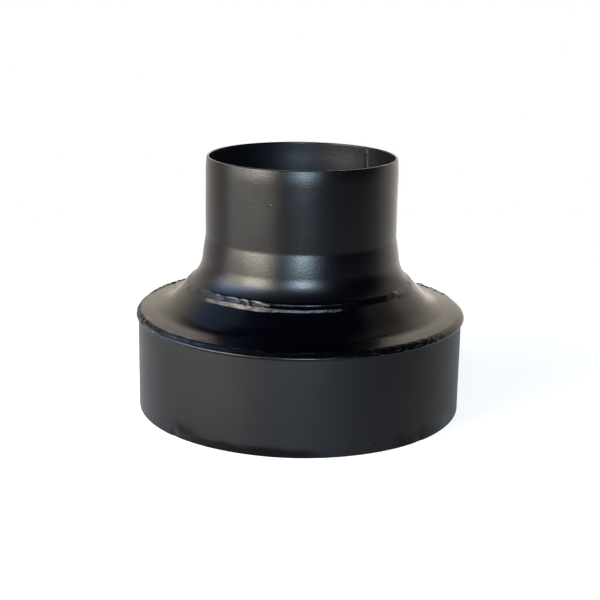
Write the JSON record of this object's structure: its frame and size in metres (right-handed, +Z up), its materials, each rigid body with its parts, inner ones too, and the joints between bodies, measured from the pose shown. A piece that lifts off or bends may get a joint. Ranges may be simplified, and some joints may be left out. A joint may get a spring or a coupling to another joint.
{
  "type": "duct reducer",
  "caption": "Black painted steel duct reducer: a narrow spigot flares into a shoulder welded onto a wide open collar, to join a narrow round pipe to a wide one.",
  "frame": {"origin": "centre of the base collar's open bottom edge, on the duct's axis", "axes": "+Z up along the duct's axis, from the wide collar to the narrow spigot; -Y faces the viewer of the picture"},
  "size_m": [0.2055, 0.2056, 0.1583],
  "materials": {
    "painted_sheet": "black satin paint on rolled sheet steel",
    "painted_weld": "black satin paint over a rippled weld bead"
  },
  "bodies": {
    "root": {"spigot": "painted_sheet", "spigot_seam_weld": "painted_weld", "neck_weld": "painted_weld", "shoulder_ring": "painted_sheet", "rim_weld": "painted_weld", "base_collar": "painted_sheet", "base_collar_seam_weld": "painted_weld"}
  },
  "joints": []
}
